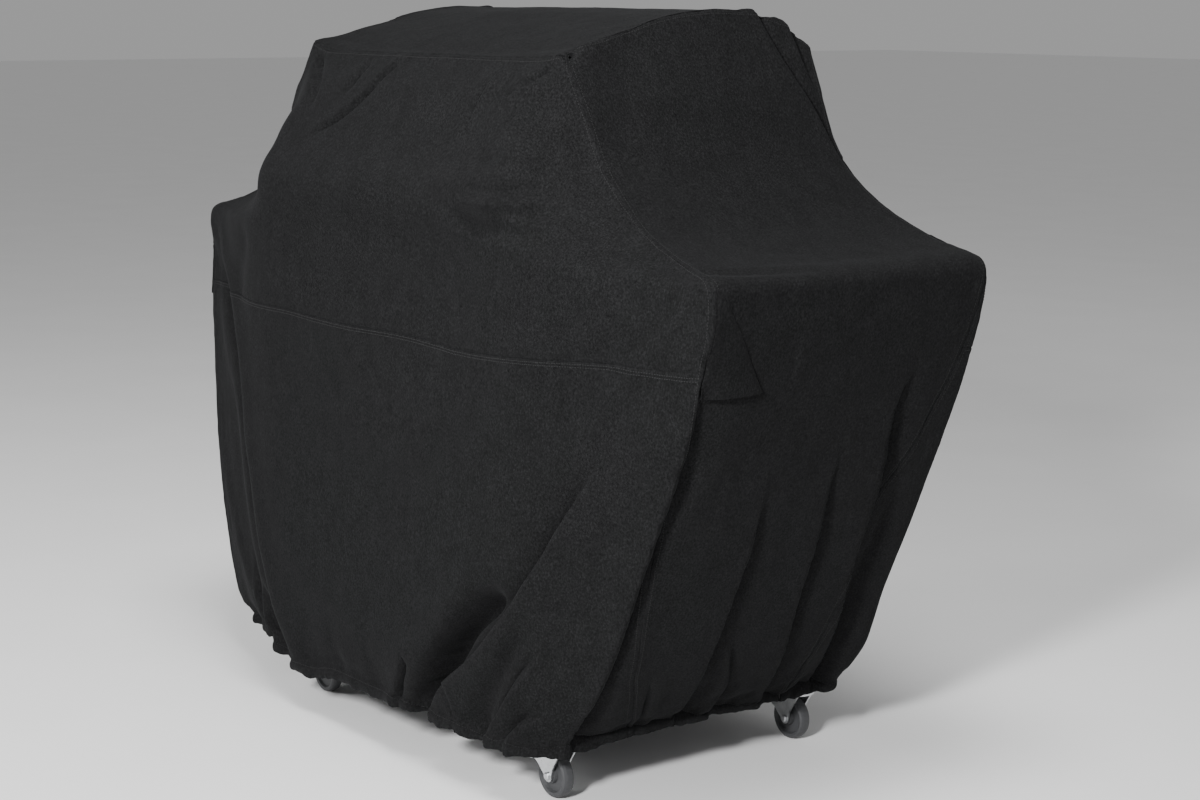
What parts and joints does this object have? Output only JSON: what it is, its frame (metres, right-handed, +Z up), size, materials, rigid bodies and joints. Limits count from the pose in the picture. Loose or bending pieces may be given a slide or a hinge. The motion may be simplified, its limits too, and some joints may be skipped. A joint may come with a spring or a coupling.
{
  "type": "grill cover",
  "caption": "Black woven fabric cover with a gathered elastic hem, fitted over a wheeled gas grill on swivel casters.",
  "frame": {"origin": "on the floor, under the middle of the whole outline", "axes": "+X along the width to the right shelf, -Y towards the grill's front, +Z up"},
  "size_m": [1.5416, 0.7134, 1.2755],
  "materials": {
    "cover_fabric": "matte woven polyester, fine grey and black mottle",
    "vent_mesh": "open knitted mesh",
    "hem_elastic": "matte",
    "grill_paint": "satin black powder coat",
    "grill_steel": "brushed",
    "zinc_plate": "satin zinc plating",
    "wheel_rubber": "matte dark grey"
  },
  "bodies": {
    "grill": {"cover_top_panel": "cover_fabric", "cover_front_panel_upper": "cover_fabric", "cover_front_panel_lower": "cover_fabric", "cover_back_panel_upper": "cover_fabric", "cover_back_panel_lower": "cover_fabric", "cover_side_panel_left": "cover_fabric", "cover_side_panel_right": "cover_fabric", "vent_flap_left": "cover_fabric", "vent_flap_right": "cover_fabric", "hem_casing_front": "cover_fabric", "hem_casing_back": "cover_fabric", "hem_casing_left": "cover_fabric", "hem_casing_right": "cover_fabric", "vent_mesh_left": "vent_mesh", "vent_mesh_right": "vent_mesh", "hem_elastic_front": "hem_elastic", "hem_elastic_back": "hem_elastic", "hem_elastic_left": "hem_elastic", "hem_elastic_right": "hem_elastic", "hood_shell": "grill_paint", "firebox": "grill_paint", "shelf_bracket_left": "grill_paint", "shelf_bracket_right": "grill_paint", "cart_side_panel_left": "grill_paint", "cart_side_panel_right": "grill_paint", "cart_back_panel": "grill_paint", "cart_base": "grill_paint", "hood_handle": "grill_steel", "control_panel": "grill_steel", "side_shelf_left": "grill_steel", "side_shelf_right": "grill_steel", "caster_plate_front_right": "zinc_plate", "swivel_race_front_right": "zinc_plate", "caster_plate_back_right": "zinc_plate", "swivel_race_back_right": "zinc_plate", "caster_plate_front_left": "zinc_plate", "swivel_race_front_left": "zinc_plate", "caster_plate_back_left": "zinc_plate", "swivel_race_back_left": "zinc_plate"},
    "fork_front_right": {"caster_fork_front_right": "zinc_plate", "axle_bolt_front_right": "zinc_plate", "pedal_pin_front_right": "zinc_plate"},
    "wheel_front_right": {"wheel_front_right": "wheel_rubber"},
    "pedal_front_right": {"brake_pedal_front_right": "zinc_plate"},
    "fork_back_right": {"caster_fork_back_right": "zinc_plate", "axle_bolt_back_right": "zinc_plate"},
    "wheel_back_right": {"wheel_back_right": "wheel_rubber"},
    "fork_front_left": {"caster_fork_front_left": "zinc_plate", "axle_bolt_front_left": "zinc_plate", "pedal_pin_front_left": "zinc_plate"},
    "wheel_front_left": {"wheel_front_left": "wheel_rubber"},
    "pedal_front_left": {"brake_pedal_front_left": "zinc_plate"},
    "fork_back_left": {"caster_fork_back_left": "zinc_plate", "axle_bolt_back_left": "zinc_plate"},
    "wheel_back_left": {"wheel_back_left": "wheel_rubber"}
  },
  "joints": [
    {"name": "swivel_front_right", "type": "hinge", "parent": "grill", "child": "fork_front_right", "pos_m": [0.3658, -0.21733, 0.0902], "axis": [0, 0, 1], "continuous": true},
    {"name": "spin_front_right", "type": "hinge", "parent": "fork_front_right", "child": "wheel_front_right", "pos_m": [0.3538, -0.21733, 0.0381], "axis": [0, 1, 0], "continuous": true},
    {"name": "brake_front_right", "type": "hinge", "parent": "fork_front_right", "child": "pedal_front_right", "pos_m": [0.3178, -0.21733, 0.066], "axis": [0, 1, 0], "range_deg": [-16, 0]},
    {"name": "swivel_back_right", "type": "hinge", "parent": "grill", "child": "fork_back_right", "pos_m": [0.3658, 0.29867, 0.0902], "axis": [0, 0, 1], "continuous": true},
    {"name": "spin_back_right", "type": "hinge", "parent": "fork_back_right", "child": "wheel_back_right", "pos_m": [0.3538, 0.29867, 0.0381], "axis": [0, 1, 0], "continuous": true},
    {"name": "swivel_front_left", "type": "hinge", "parent": "grill", "child": "fork_front_left", "pos_m": [-0.3582, -0.21733, 0.0902], "axis": [0, 0, 1], "continuous": true},
    {"name": "spin_front_left", "type": "hinge", "parent": "fork_front_left", "child": "wheel_front_left", "pos_m": [-0.3702, -0.21733, 0.0381], "axis": [0, 1, 0], "continuous": true},
    {"name": "brake_front_left", "type": "hinge", "parent": "fork_front_left", "child": "pedal_front_left", "pos_m": [-0.4062, -0.21733, 0.066], "axis": [0, 1, 0], "range_deg": [-16, 0]},
    {"name": "swivel_back_left", "type": "hinge", "parent": "grill", "child": "fork_back_left", "pos_m": [-0.3582, 0.29867, 0.0902], "axis": [0, 0, 1], "continuous": true},
    {"name": "spin_back_left", "type": "hinge", "parent": "fork_back_left", "child": "wheel_back_left", "pos_m": [-0.3702, 0.29867, 0.0381], "axis": [0, 1, 0], "continuous": true}
  ]
}
